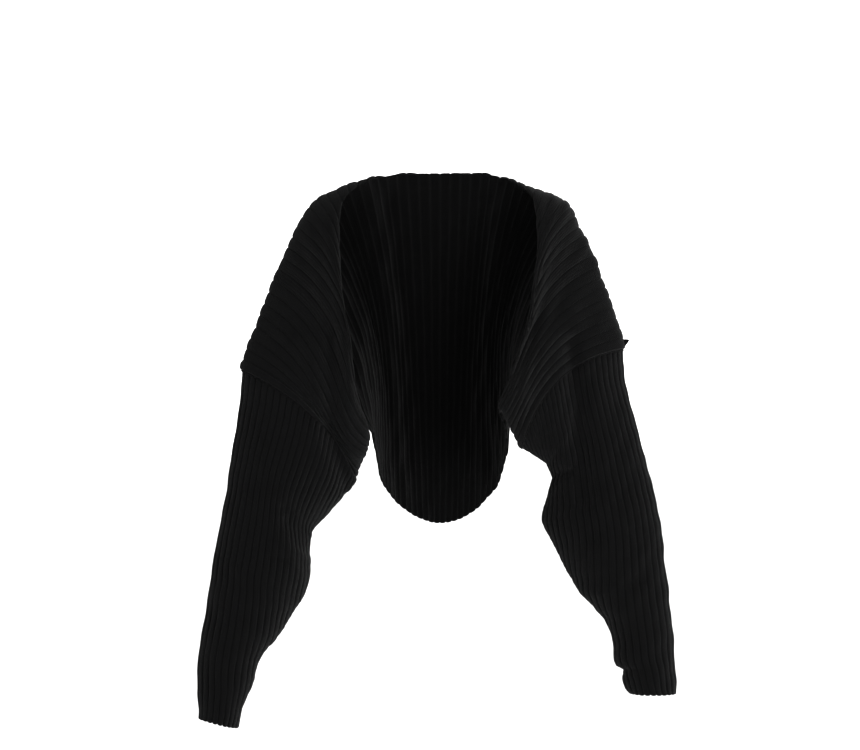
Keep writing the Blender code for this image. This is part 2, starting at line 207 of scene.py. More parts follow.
# What the three cloths share
knit = {
    "sideRibs": 28,  # panel ribs from the centre back to a sleeve seam
    "openRibs": 20,  # of these, the ones that end on the opening and hem
    "ribRelief": 1.5,  # height of a rib over the groove beside it
    "ribPower": 4.0,  # higher is a flatter rib with a narrower groove
    "reverseRelief": 1.1,  # how far a groove stands out on the inner side
    "innerDepth": 4.5,  # from a rib's top to the inner side behind a groove
    "edgeRound": 2.0,  # radius of the cloth's edges
    "edgeSteps": (0.0, 0.06, 0.25, 0.6, 1.0),  # rows round an edge, as shares of its radius
    "unevenRibs": 0.8,  # how much the ribs' height differs from place to place
    "wobbleWaves": 9,  # sine waves in the cloth's unevenness
    "wobbleLong": (30, 120),  # the shortest and longest of them
    "leavePull": 0.5,  # how long a rib keeps the slant it leaves the ridge with
    "reachPull": 0.25,  # the same at its end
    "pathPoints": 81,  # from the ridge to an end
}


def smoothRows(table, places):
    # a cubic Hermite curve through the table's rows, its slopes the mean of the slopes beside each row
    rows = np.array(table, dtype=float)
    keys, values = rows[:, 0], rows[:, 1:]
    slopes = np.gradient(values, keys, axis=0)
    low = np.clip(np.searchsorted(keys, places, side="right") - 1, 0, len(keys) - 2)
    span = (keys[low + 1] - keys[low])[:, None]
    share = (np.asarray(places, dtype=float)[:, None] - keys[low][:, None]) / span
    rise = 3 * share**2 - 2 * share**3
    startPull = span * slopes[low] * share * (1 - share) ** 2
    endPull = -span * slopes[low + 1] * share**2 * (1 - share)
    return values[low] * (1 - rise) + values[low + 1] * rise + startPull + endPull


def smoothStep(share):
    # 3s * s - 2s * s * s, from 0 to 1
    share = np.clip(share, 0.0, 1.0)
    return share * share * (3 - 2 * share)


def valleys(table, x, z):
    # a soft valley along each line: depth times exp(-(distance / width) squared), the deepest one counts
    push = np.zeros_like(x)
    for startX, startZ, endX, endZ, width, depth in table:
        runX, runZ = endX - startX, endZ - startZ
        along = ((x - startX) * runX + (z - startZ) * runZ) / (runX**2 + runZ**2)
        along = np.clip(along, 0.0, 1.0)
        away = np.hypot(x - startX - along * runX, z - startZ - along * runZ)
        push = np.maximum(push, depth * np.exp(-((away / width) ** 2)))
    return push


def fallPaths(ridge, end, leave, reach, depth, ridgePower, endPower, facing, troughs):
    # a Bezier curve in the front view, pushed out by depth * share**ridgePower * (1 - share)**endPower,
    # scaled to a peak of 1, less the troughs
    share = (1 - np.cos(np.linspace(0, np.pi, knit["pathPoints"]))) / 2
    run = end - ridge
    span = np.hypot(run[:, 0], run[:, 2])[:, None]
    leaveWay = np.radians(leave)[:, None]
    reachWay = np.radians(reach)[:, None]
    leaveX = ridge[:, :1] + knit["leavePull"] * span * np.sin(leaveWay)
    leaveZ = ridge[:, 2:] - knit["leavePull"] * span * np.cos(leaveWay)
    reachX = end[:, :1] - knit["reachPull"] * span * np.sin(reachWay)
    reachZ = end[:, 2:] + knit["reachPull"] * span * np.cos(reachWay)
    weights = ((1 - share) ** 3, 3 * share * (1 - share) ** 2, 3 * share**2 * (1 - share), share**3)
    x = sum(w * p for w, p in zip(weights, (ridge[:, :1], leaveX, reachX, end[:, :1])))
    z = sum(w * p for w, p in zip(weights, (ridge[:, 2:], leaveZ, reachZ, end[:, 2:])))
    first, last = ridgePower[:, None], endPower[:, None]
    peak = first / (first + last)
    bulge = share**first * (1 - share) ** last / (peak**first * (1 - peak) ** last)
    push = valleys(troughs, x, z) * np.sqrt(bulge)
    y = ridge[:, 1:2] + run[:, 1:2] * share + facing * (depth[:, None] * bulge - push)
    return np.stack((x, y, z), axis=2)


def lengthsAlong(paths):
    # the length of each path up to each of its points
    steps = np.linalg.norm(np.diff(paths, axis=1), axis=2)
    return np.concatenate((np.zeros((len(paths), 1)), np.cumsum(steps, axis=1)), axis=1)


def atLengths(paths, lengths, wanted):
    # the wanted lengths of all paths in one interpolation, each path on a stretch of its own
    stride = lengths.max() * 2 + 1
    shift = np.arange(len(paths))[:, None] * stride
    spots = (np.clip(wanted, 0, lengths[:, -1:]) + shift).ravel()
    known = (lengths + shift).ravel()
    axes = [np.interp(spots, known, paths[:, :, axis].ravel()) for axis in range(3)]
    return np.stack(axes, axis=1).reshape(wanted.shape + (3,))


def unit(vectors):
    # each vector over its length, one of no length stays as it is
    shortest = 1e-9
    return vectors / np.maximum(np.linalg.norm(vectors, axis=-1, keepdims=True), shortest)


def ribHeight(place):
    # 1 on the rib, 0 in the groove: 1 - |2t - 1| ** power, t the place in the rib
    return 1 - np.abs(2 * np.mod(place, 1.0) - 1) ** knit["ribPower"]


def edgeShare(distance, radius):
    # a quarter circle: how far the two sides have parted at a distance from the cloth's edge
    near = np.clip(distance / radius, 0.0, 1.0)
    return np.sqrt(1 - (1 - near) ** 2)


def slowWobble(across, along, seed, size):
    # the uneven hand of the cloth: a mean of slow sine waves with fixed random ways and lengths
    rng = np.random.default_rng(seed)
    total = np.zeros_like(across)
    for _ in range(knit["wobbleWaves"]):
        way = rng.uniform(0, 2 * np.pi)
        long = rng.uniform(*knit["wobbleLong"])
        phase = rng.uniform(0, 2 * np.pi)
        total += np.sin((across * math.cos(way) + along * math.sin(way)) * 2 * np.pi / long + phase)
    return total * size / knit["wobbleWaves"]


def gridTriangles(ids):
    # two triangles for each cell of a grid of vertex numbers; those with a repeated corner are dropped
    a, b, c, d = ids[:-1, :-1], ids[1:, :-1], ids[1:, 1:], ids[:-1, 1:]
    faces = np.concatenate((
        np.stack((a, b, c), axis=-1).reshape(-1, 3),
        np.stack((a, c, d), axis=-1).reshape(-1, 3),
    ))
    kept = (faces[:, 0] != faces[:, 1]) & (faces[:, 1] != faces[:, 2]) & (faces[:, 0] != faces[:, 2])
    return faces[kept]


def makeMesh(name, points, faces, places, paint):
    # points in millimetres; loose ones are left out; places is the knit's own map, its third value the rib
    # colour's share, which carries the painted shade
    used, faces = np.unique(faces, return_inverse=True)
    faces = faces.reshape(-1, 3)
    mesh = bpy.data.meshes.new(name)
    mesh.vertices.add(len(used))
    mesh.vertices.foreach_set("co", (points[used] * mm).astype(np.float32).ravel())
    mesh.loops.add(faces.size)
    mesh.loops.foreach_set("vertex_index", faces.astype(np.int32).ravel())
    mesh.polygons.add(len(faces))
    mesh.polygons.foreach_set("loop_start", np.arange(0, faces.size, 3, dtype=np.int32))
    mesh.polygons.foreach_set("loop_total", np.full(len(faces), 3, dtype=np.int32))
    mesh.update(calc_edges=True)
    layer = mesh.attributes.new("knitPlace", "FLOAT_VECTOR", "POINT")
    layer.data.foreach_set("vector", places[used].astype(np.float32).ravel())
    mesh.shade_smooth()
    mesh.materials.append(paint)
    piece = bpy.data.objects.new(name, mesh)
    bpy.context.scene.collection.objects.link(piece)
    return piece


def clothShell(name, grid, normals, outerLift, innerLift, parted, ids, border, facing, places, paint):
    # outer and inner side at their lifts from the middle surface; they meet where parted is 0
    middle = (outerLift + innerLift) / 2
    half = (outerLift - innerLift) / 2 * parted
    outer = grid + normals * (middle + half)[:, :, None]
    inner = grid + normals * (middle - half)[:, :, None]
    innerIds = np.where(border, ids, ids + ids.size)
    outerPlaces = places.reshape(-1, 3)
    innerPlaces = outerPlaces * (1, 1, -1) + (0, 0, 1)  # the inner side has ribs behind the outer grooves, so its painted groove shade is turned round too
    faces = np.concatenate((gridTriangles(ids)[:, ::facing], gridTriangles(innerIds)[:, ::-facing]))
    points = np.concatenate((outer.reshape(-1, 3), inner.reshape(-1, 3)))
    return makeMesh(name, points, faces, np.concatenate((outerPlaces, innerPlaces)), paint)


# The wide rib panel over the back, shoulders and upper arms
panel = {
    "placesInRib": (0.0, 0.06, 0.18, 0.39, 0.61, 0.82, 0.94),  # columns of points in one rib
    "rows": 112,  # along the ribs, beside the ones round the edges
    "endPlaces": (0.015, 0.05, 0.11, 0.26),  # extra columns near a seam end, in ribs
    "pitch": 17.0,  # across one rib where the cloth lies open
    "lipRibs": 0.95,  # width of the raised seam edge
    "lipRise": 0.35,  # how much of that it takes to rise, in ribs
    "lipHeight": {-1: 4.8, 1: 4.2},  # at the ridge
    "lipShare": 0.4,  # of that height, what is left away from the ridge
    "swellRibs": 4.0,  # the last ribs before the seam stand higher at the ridge
    "swellHeight": {-1: 3.2, 1: 5.0},
    "ridgeReach": 60.0,  # how far round the arm the ridge's heights are felt
    "lipRound": 4.5,  # radius of its rolled end
    "lipShadeRibs": 0.45,  # how much of it is painted darker towards the seam: painted shade on the lip's rolled end
    "scallop": 1.6,  # how much shorter a groove is than a rib at the opening and hem
    "wobble": 3.0,  # size of the cloth's unevenness
    "wobbleSeed": 3,
    "unevenSeed": 9,
    "calmRibs": 2.0,  # the unevenness dies away over the last ribs before a seam
    "flat": (0.575, 0.86),  # metres along and across the ribs, as cut
}


def panelPaths(ribs):
    # from the front end over the ridge to the back end, one path for each rib place
    ridge = smoothRows(ridgeTable, ribs)
    edge = smoothRows(edgeTable, ribs)
    fall = smoothRows(fallTable, ribs)
    hem = smoothRows(hemTable, np.clip(ribs, -knit["openRibs"], knit["openRibs"]))
    joined = np.abs(ribs) >= knit["openRibs"]
    hem[joined] = edge[joined]
    powers = fall[:, 6], fall[:, 7]
    front = fallPaths(ridge, edge, *fall[:, 0:3].T, *powers, -1, frontTroughs)
    back = fallPaths(ridge, hem, *fall[:, 3:6].T, *powers, 1, backTroughs)
    return np.concatenate((front[:, ::-1], back[:, 1:]), axis=1)


def makePanel(paint):
    # a grid of rib places by lengths along them; the outer side is lifted by the ribs, the seam's lip and
    # the swell beside it, the inner side by the ribs' reverse
    side = knit["sideRibs"]
    ribs = [rib + place for rib in range(-side, side) for place in panel["placesInRib"]]
    ribs += [-side + place for place in panel["endPlaces"]]
    ribs += [side - place for place in (0.0,) + panel["endPlaces"]]
    ribs = np.array(sorted(ribs))
    paths = panelPaths(ribs)
    lengths = lengthsAlong(paths)
    whole = lengths[:, -1:]
    height = ribHeight(ribs)[:, None]
    isOpen = np.abs(ribs)[:, None] < knit["openRibs"]
    short = np.where(isOpen, panel["scallop"] * (1 - height), 0.0)
    rounding = knit["edgeRound"] * np.array(knit["edgeSteps"])
    start = short + knit["edgeRound"]
    inside = np.linspace(0, 1, panel["rows"])[1:-1]
    wanted = np.concatenate((
        short + rounding,
        start + (whole - 2 * start) * inside,
        (whole - short - rounding)[:, ::-1],
    ), axis=1)
    grid = atLengths(paths, lengths, wanted)
    normals = unit(np.cross(np.gradient(grid, axis=1), np.gradient(grid, axis=0)))
    fromSeam = (side - np.abs(ribs))[:, None]
    parted = edgeShare(wanted - short, knit["edgeRound"])
    parted = parted * edgeShare(whole - short - wanted, knit["edgeRound"])
    parted = parted * edgeShare(fromSeam * panel["pitch"], panel["lipRound"])
    lip = smoothStep((panel["lipRibs"] - fromSeam) / panel["lipRise"])
    nearRidge = np.exp(-(((wanted - lengths[:, knit["pathPoints"] - 1, None]) / panel["ridgeReach"]) ** 2))
    lipHeight = np.where(ribs < 0, panel["lipHeight"][-1], panel["lipHeight"][1])[:, None]
    lipHeight = lipHeight * (panel["lipShare"] + (1 - panel["lipShare"]) * nearRidge)
    swellHeight = np.where(ribs < 0, panel["swellHeight"][-1], panel["swellHeight"][1])[:, None]
    swell = swellHeight * nearRidge * smoothStep(1 - fromSeam / panel["swellRibs"]) * (1 - lip)
    along = wanted - whole / 2
    across = ribs[:, None] * panel["pitch"] + 0 * along
    wobble = slowWobble(across, along, panel["wobbleSeed"], panel["wobble"])
    wobble = wobble * smoothStep(fromSeam / panel["calmRibs"]) + swell
    uneven = slowWobble(across, along, panel["unevenSeed"], knit["unevenRibs"])
    relief = knit["ribRelief"] * (1 + uneven)
    outerLift = (np.maximum(height, lip) - 1) * relief + lipHeight * lip + wobble
    innerLift = -knit["innerDepth"] + knit["reverseRelief"] * height + wobble
    # painted shade: the groove colour in the grooves, and on the last ribs before the seam over the lip's
    # rolled end
    painted = np.maximum(height, lip) * smoothStep(fromSeam / panel["lipShadeRibs"])
    places = np.stack((ribs[:, None] + 0 * along, along, painted + 0 * along), axis=2)
    ids = np.arange(along.size).reshape(along.shape)
    border = np.zeros(ids.shape, dtype=bool)
    border[[0, -1], :] = True
    border[:, [0, -1]] = True
    outward = facingOut(grid, normals)
    return clothShell("ribPanel", grid, normals * outward, outerLift, innerLift, parted, ids, border,
                      -outward, places, paint)


def facingOut(grid, normals):
    # 1 or -1, as the normals point away from each strip's own middle or towards it
    middle = grid.mean(axis=1, keepdims=True)
    return 1 if ((grid - middle) * normals).sum() > 0 else -1


# The two tapered sleeves, their ribs along the arm
sleeve = {
    "stepsInRib": 7,  # columns of points in one rib
    "seamRibs": 24,  # from the outer line to the underarm, at the top
    "cuffRibs": 10,  # the same at the cuff
    "mostRibs": 30,  # the most that a row holds
    "evenDegree": 3,  # of the curve that evens out the rows' lengths
    "rows": 122,  # down the sleeve, beside the ones round its edges
    "pitch": 11.0,  # across one rib at the top
    "seamDip": 1.8,  # how deep the underarm seam lies
    "seamWide": 3.0,
    "atSeam": 1e-6,  # a point this near the seam, in ribs, lies on it
    "pucker": 1.6,  # how far that seam is drawn in where a groove ends on it
    "puckerWide": 9.0,
    "lipShadowTop": 9.0,  # painted darker this far below the panel's edge: a painted shadow under its lip
    "scallop": 2.0,  # how much shorter a groove is than a rib at the cuff
    "scallopReach": 30.0,
    "wobble": 3.0,  # size of the cloth's unevenness
    "wobbleSeed": 5,
    "unevenSeed": 12,
    "calmTop": 30.0,  # the unevenness dies away over this stretch below the top
    "calmSeam": 15.0,  # and over this stretch beside the underarm seam
    "flat": (0.56, 0.55),  # metres round the top and down the arm, as cut
    "area": 0.21,
}


def sleeveHalves(side, shares):
    # paths from the ridge to the underarm, over the front and over the back, for each share of the way down
    table = sleeveTables[side]
    rib = np.array([side * knit["sideRibs"]], dtype=float)
    ridge, edge = smoothRows(ridgeTable, rib)[0], smoothRows(edgeTable, rib)[0]
    fall = smoothRows(fallTable, rib)[0]
    seamRow = (0, *ridge, *edge, fall[0], fall[1], fall[2], fall[5])
    rows = smoothRows((seamRow,) + table, shares * table[-1][0])
    ridge, edge, leave, reach = rows[:, 0:3], rows[:, 3:6], rows[:, 6], rows[:, 7]
    for line, waves in ((ridge, sleeveWaves[side, "ridge"]), (edge, sleeveWaves[side, "underarm"])):
        line[:, 0] += np.interp(shares * table[-1][0], *np.array(waves, dtype=float).T)
    powers = np.full(len(rows), fall[6]), np.full(len(rows), fall[7])
    front = fallPaths(ridge, edge, leave, reach, rows[:, 8], *powers, -1, frontTroughs)
    back = fallPaths(ridge, edge, leave, reach, rows[:, 9], *powers, 1, backTroughs)
    return front, back


def makeSleeve(side, name, paint):
    # a grid of rows down the arm by rib places round it, lifted by the ribs, less the dip at the seam
    tall = sleeveTables[side][-1][0]
    rounding = knit["edgeRound"] * np.array(knit["edgeSteps"])
    inside = np.linspace(knit["edgeRound"], tall - knit["edgeRound"], sleeve["rows"])[1:-1]
    down = np.concatenate((rounding, inside, (tall - rounding)[::-1]))[:, None]
    front, back = sleeveHalves(side, down[:, 0] / tall)
    ribs = sleeve["seamRibs"] + (sleeve["cuffRibs"] - sleeve["seamRibs"]) * down / tall
    steps = np.arange(0, sleeve["mostRibs"] * sleeve["stepsInRib"] + 1) / sleeve["stepsInRib"]
    halves = []
    for paths in (front, back):
        # the ribs keep to the outer line and end at the seam; a row longer than its neighbours holds more
        lengths = lengthsAlong(paths)
        long = lengths[:, -1:]
        even = np.polyval(np.polyfit(down[:, 0], long[:, 0], sleeve["evenDegree"]), down)
        count = ribs * long / even
        fromLine = np.minimum(steps, count)
        points = atLengths(paths, lengths, fromLine / count * long)
        halves.append((points, fromLine, count + 0 * fromLine))
    grid, place, count = (np.concatenate((a[:, :0:-1], b), axis=1) for a, b in zip(*halves))
    atSeam = place >= count - sleeve["atSeam"]
    place = place * np.where(np.arange(place.shape[1]) < len(steps) - 1, -1, 1)
    ids = np.arange(place.size).reshape(place.shape)
    ids = np.where(atSeam, ids[:, :1], ids)  # a row's points on the seam are one vertex
    normals = unit(np.cross(np.gradient(grid, axis=0), np.gradient(grid, axis=1)))
    outward = facingOut(grid, normals)
    shared = unit((normals * atSeam[:, :, None]).sum(axis=1, keepdims=True))
    normals = np.where(atSeam[:, :, None], shared, normals) * outward
    height = ribHeight(place)
    fromSeam = (count - np.abs(place)) * sleeve["pitch"]
    dip = sleeve["seamDip"] * np.exp(-((fromSeam / sleeve["seamWide"]) ** 2))
    calm = smoothStep(down / sleeve["calmTop"])
    pucker = sleeve["pucker"] * (1 - ribHeight(count)) * calm
    dip = dip + pucker * np.exp(-((fromSeam / sleeve["puckerWide"]) ** 2))
    nearCuff = smoothStep((down - tall) / sleeve["scallopReach"] + 1)
    short = nearCuff * sleeve["scallop"] * (1 - height)
    grid = grid - unit(np.gradient(grid, axis=0)) * short[:, :, None]
    across, along = place * sleeve["pitch"], down + 0 * place
    wobble = slowWobble(across, along, sleeve["wobbleSeed"] + side, sleeve["wobble"])
    wobble = wobble * calm * smoothStep(fromSeam / sleeve["calmSeam"])
    uneven = slowWobble(across, along, sleeve["unevenSeed"] + side, knit["unevenRibs"])
    outerLift = (height - 1) * knit["ribRelief"] * (1 + uneven) - dip + wobble
    innerLift = -knit["innerDepth"] + knit["reverseRelief"] * height + wobble
    parted = edgeShare(down, knit["edgeRound"]) * edgeShare(tall - down, knit["edgeRound"])
    # painted shade: the groove colour in the grooves, and a painted shadow band along the top under the
    # panel's lip
    painted = height * smoothStep(down / sleeve["lipShadowTop"])
    places = np.stack((place, along, painted), axis=2)
    border = np.zeros(ids.shape, dtype=bool)
    border[[0, -1], :] = True
    return clothShell(name, grid, normals, outerLift, innerLift, parted, ids, border, outward, places, paint)


# The sewn edge between the panel and a sleeve, whipped with yarn
seam = {
    "turns": 560,  # places along the ring
    "sides": 10,  # places round the roll
    "halfWide": 1.5,
    "halfHigh": 1.7,
    "sunk": 1.6,  # how far its middle lies under the ribs' tops
    "onward": 0.8,  # towards the sleeve
    "yarnPitch": 3.6,  # from one turn of yarn to the next
    "yarnShare": 0.16,  # how much a turn of yarn stands out
    "nubs": {  # bunched yarn: place round the ring from the ridge in mm, length, extra height
        -1: ((-5.0, 4.0, 0.8), (6.0, 4.5, 0.7)),
        1: ((9.0, 4.0, 0.8),),
    },
    "tails": {  # a stub at the seam's top: base x, y, z, tip x, y, z, half its height, half its depth
        -1: (-304, -11, -294, -307, -11, -293, 4.0, 3.0),
        1: (280, -14, -264, 292.6, -13, -256, 8.8, 2.0),
    },
    "tailShares": (0.0, 0.0, 0.2, 0.4, 0.6, 0.75, 0.88, 0.96, 1.0),  # from base to tip
    "tailRound": 0.75,  # 1 is a cone, less is a rounder tip
    "rollRadians": 2.0,  # round the roll for each step of the stitches' map
    "tailRadians": 12.0,  # the same round a stub
    "paint": 0.3,  # how far it is painted in the rib's lighter colour; the rest is the groove's painted shade, darkening the roll under the panel's lip
}


def seamRing(side):
    # the panel's end ring, from its front end over the ridge to its back end
    path = panelPaths(np.array([side * knit["sideRibs"]], dtype=float))
    lengths = lengthsAlong(path)
    spots = np.linspace(0, lengths[0, -1], seam["turns"] + 1)[None, :-1]
    ring = atLengths(path, lengths, spots)[0]
    ridgeAt = lengths[0, knit["pathPoints"] - 1]
    chord = ring[0] - smoothRows(ridgeTable, [side * knit["sideRibs"]])[0]
    onward = unit(np.array([side * abs(chord[2]), 0.0, -abs(chord[0])]))
    tangent = np.roll(ring, -1, axis=0) - np.roll(ring, 1, axis=0)
    outward = unit(np.cross(tangent, onward))
    if ((ring - ring.mean(axis=0)) * outward).sum() < 0:
        outward = -outward
    return ring, outward, onward, spots[0], ridgeAt


def makeSeamRoll(side, name, paint):
    # an ellipse carried round the ring; each turn of yarn swells it by a share of a sine
    ring, outward, onward, spots, ridgeAt = seamRing(side)
    high = np.full(len(spots), seam["halfHigh"])
    for place, width, extra in seam["nubs"][side]:
        high += extra * np.exp(-(((spots - ridgeAt - place) / width) ** 2))
    around = np.linspace(0, 2 * np.pi, seam["sides"] + 1)[None, :-1]
    swell = 1 + seam["yarnShare"] * np.sin(spots[:, None] * 2 * np.pi / seam["yarnPitch"] + around)
    up = (high - seam["halfHigh"] - seam["sunk"])[:, None] + high[:, None] * np.cos(around) * swell
    out = seam["onward"] + seam["halfWide"] * np.sin(around) * swell
    points = ring[:, None] + outward[:, None] * up[:, :, None] + onward * out[:, :, None]
    ids = np.arange(out.size).reshape(out.shape)
    ids = np.concatenate((ids, ids[:1]))
    ids = np.concatenate((ids, ids[:, :1]), axis=1)
    across = np.abs(around - np.pi) / seam["rollRadians"]
    # the roll is painted mostly in the groove's painted shade
    places = np.stack((across + 0 * out, spots[:, None] + 0 * out, seam["paint"] + 0 * out), axis=2)
    faces = gridTriangles(ids)[:, ::-side]
    tail, tailFaces, tailPlaces = seamTail(side)
    points = np.concatenate((points.reshape(-1, 3), tail))
    faces = np.concatenate((faces, tailFaces + out.size))
    return makeMesh(name, points, faces, np.concatenate((places.reshape(-1, 3), tailPlaces)), paint)


def seamTail(side):
    # ellipses of radius (1 - share) ** tailRound on the line from base to tip; the first and last are points
    values = np.array(seam["tails"][side], dtype=float)
    base, tip, halfHigh, halfDeep = values[:3], values[3:6], values[6], values[7]
    shares = np.array(seam["tailShares"])[:, None]
    taper = (1 - shares) ** seam["tailRound"]
    taper[0] = 0
    around = np.linspace(0, 2 * np.pi, seam["sides"] + 1)[None, :-1]
    middle = base + (tip - base) * shares
    points = np.repeat(middle[:, None], seam["sides"], axis=1)
    points[:, :, 2] += halfHigh * taper * np.cos(around)
    points[:, :, 1] += halfDeep * taper * np.sin(around)
    ids = np.arange(points[:, :, 0].size).reshape(points.shape[:2])
    ids[0], ids[-1] = ids[0, 0], ids[-1, 0]
    ids = np.concatenate((ids, ids[:, :1]), axis=1)
    long = np.linalg.norm(tip - base)
    flat = 0 * shares * around
    across = np.abs(around - np.pi) / seam["tailRadians"]
    places = np.stack((across + flat, long * shares + flat, 1 + flat), axis=2)
    return points.reshape(-1, 3), gridTriangles(ids)[:, ::side], places.reshape(-1, 3)


# Black wool: colours as linear values
wool = {
    "ribColour": (0.0116, 0.0116, 0.0119, 1.0),
    # the groove colour is painted shade: grooves and gaps between stitches are painted darker than the ribs
    "grooveShadeColour": (0.0072, 0.0072, 0.0074, 1.0),
    "fullRib": 0.8,  # height share from which the rib has its own colour; below it the groove's painted shade mixes in
    "gapShade": (-0.7, 1.0),  # slope and start of the colour's share, by the gaps between stitches
    "mottleShade": (1.5, 0.25),  # the same by the yarn's unevenness
    "patchShade": (1.2, 0.4),  # and by larger patches
    "roughness": (0.2, 0.78),  # by the yarn's unevenness
    "specular": 0.16,
    "sheen": 0.10,
    "sheenRoughness": 0.45,
    "bumpDepth": 0.0008,  # metres
    "fibreBump": 0.35,  # height of the fibres, for a stitch of 1
    "panelWales": 4.0,  # columns of stitches in a rib and its groove
    "sleeveWales": 3.0,
    "seamWales": 2.0,
    "rowPitch": 3.4,  # from one row of stitches to the next
    "unevenScale": 0.35,  # of the noise that makes the stitches uneven
    "waleShift": 0.5,  # how far that noise shifts them across, in wales
    "rowShift": 0.9,  # and along, in rows
    "legLean": 0.85,  # rows that a leg of the V climbs
    "legRound": 0.6,  # how much lower a leg's sides are than its middle
    "gapPower": 2.0,  # higher is a narrower gap
    "fibreScales": {"Height": (1500.0, 3.0), "Mottle": (130.0, 3.0), "Patch": (32.0, 2.0)},  # scale, detail
}


def addMath(tree, operation, *values):
    node = tree.nodes.new("ShaderNodeMath")
    node.operation = operation
    for socket, value in zip(node.inputs, values):
        if isinstance(value, (int, float)):
            socket.default_value = value
        else:
            tree.links.new(value, socket)
    return node.outputs[0]


def addNoise(tree, vector, scale, detail):
    node = tree.nodes.new("ShaderNodeTexNoise")
    tree.links.new(vector, node.inputs["Vector"])
    node.inputs["Scale"].default_value = scale
    node.inputs["Detail"].default_value = detail
    return node.outputs[0]


def newGroup(name, inputs, outputs):
    tree = bpy.data.node_groups.new(name, "ShaderNodeTree")
    for socketName, kind in inputs:
        tree.interface.new_socket(name=socketName, in_out="INPUT", socket_type=kind)
    for socketName, kind in outputs:
        tree.interface.new_socket(name=socketName, in_out="OUTPUT", socket_type=kind)
    return tree, tree.nodes.new("NodeGroupInput"), tree.nodes.new("NodeGroupOutput")


def addHump(tree, share):
    # 4s(1 - s): 1 in the middle, 0 at both ends
    rest = addMath(tree, "SUBTRACT", 1.0, share)
    return addMath(tree, "MULTIPLY", addMath(tree, "MULTIPLY", share, rest), 4.0)


def stitchGroup():
    # rows of V stitches: two leaning legs of yarn in each wale, round across, uneven by a slow noise
    tree, given, made = newGroup(
        "knitStitch",
        (("Place", "NodeSocketVector"), ("Wales", "NodeSocketFloat"), ("Row", "NodeSocketFloat")),
        (("Height", "NodeSocketFloat"), ("Gap", "NodeSocketFloat")),
    )
    parts = tree.nodes.new("ShaderNodeSeparateXYZ")
    tree.links.new(given.outputs["Place"], parts.inputs[0])
    uneven = addNoise(tree, given.outputs["Place"], wool["unevenScale"], 1.0)
    shift = addMath(tree, "MULTIPLY_ADD", uneven, wool["waleShift"], -wool["waleShift"] / 2)
    across = addMath(tree, "MULTIPLY_ADD", parts.outputs[0], given.outputs["Wales"], shift)
    inWale = addMath(tree, "FRACT", across)
    fromMiddle = addMath(tree, "ABSOLUTE", addMath(tree, "SUBTRACT", inWale, 0.5))
    side = addMath(tree, "MULTIPLY", fromMiddle, 2.0)
    row = addMath(tree, "DIVIDE", parts.outputs[1], given.outputs["Row"])
    row = addMath(tree, "MULTIPLY_ADD", uneven, wool["rowShift"], row)
    lean = addMath(tree, "FRACT", addMath(tree, "MULTIPLY_ADD", side, wool["legLean"], row))
    yarn = addHump(tree, lean)
    leg = addHump(tree, side)
    legRound = wool["legRound"]
    roundLeg = addMath(tree, "MULTIPLY_ADD", addMath(tree, "SQRT", leg), legRound, 1 - legRound)
    height = addMath(tree, "MULTIPLY", addMath(tree, "SQRT", yarn), roundLeg)
    gap = addMath(tree, "POWER", addMath(tree, "SUBTRACT", 1.0, height), wool["gapPower"])
    tree.links.new(height, made.inputs["Height"])
    tree.links.new(gap, made.inputs["Gap"])
    return tree


def fibreGroup():
    # noise of three sizes: loose fibres, the yarn's unevenness, and larger patches
    outputs = [(name, "NodeSocketFloat") for name in wool["fibreScales"]]
    tree, given, made = newGroup("woolFibre", (("Vector", "NodeSocketVector"),), outputs)
    for name, (scale, detail) in wool["fibreScales"].items():
        tree.links.new(addNoise(tree, given.outputs["Vector"], scale, detail), made.inputs[name])
    return tree


def colourSockets(sockets):
    return [socket for socket in sockets if socket.type == "RGBA"]


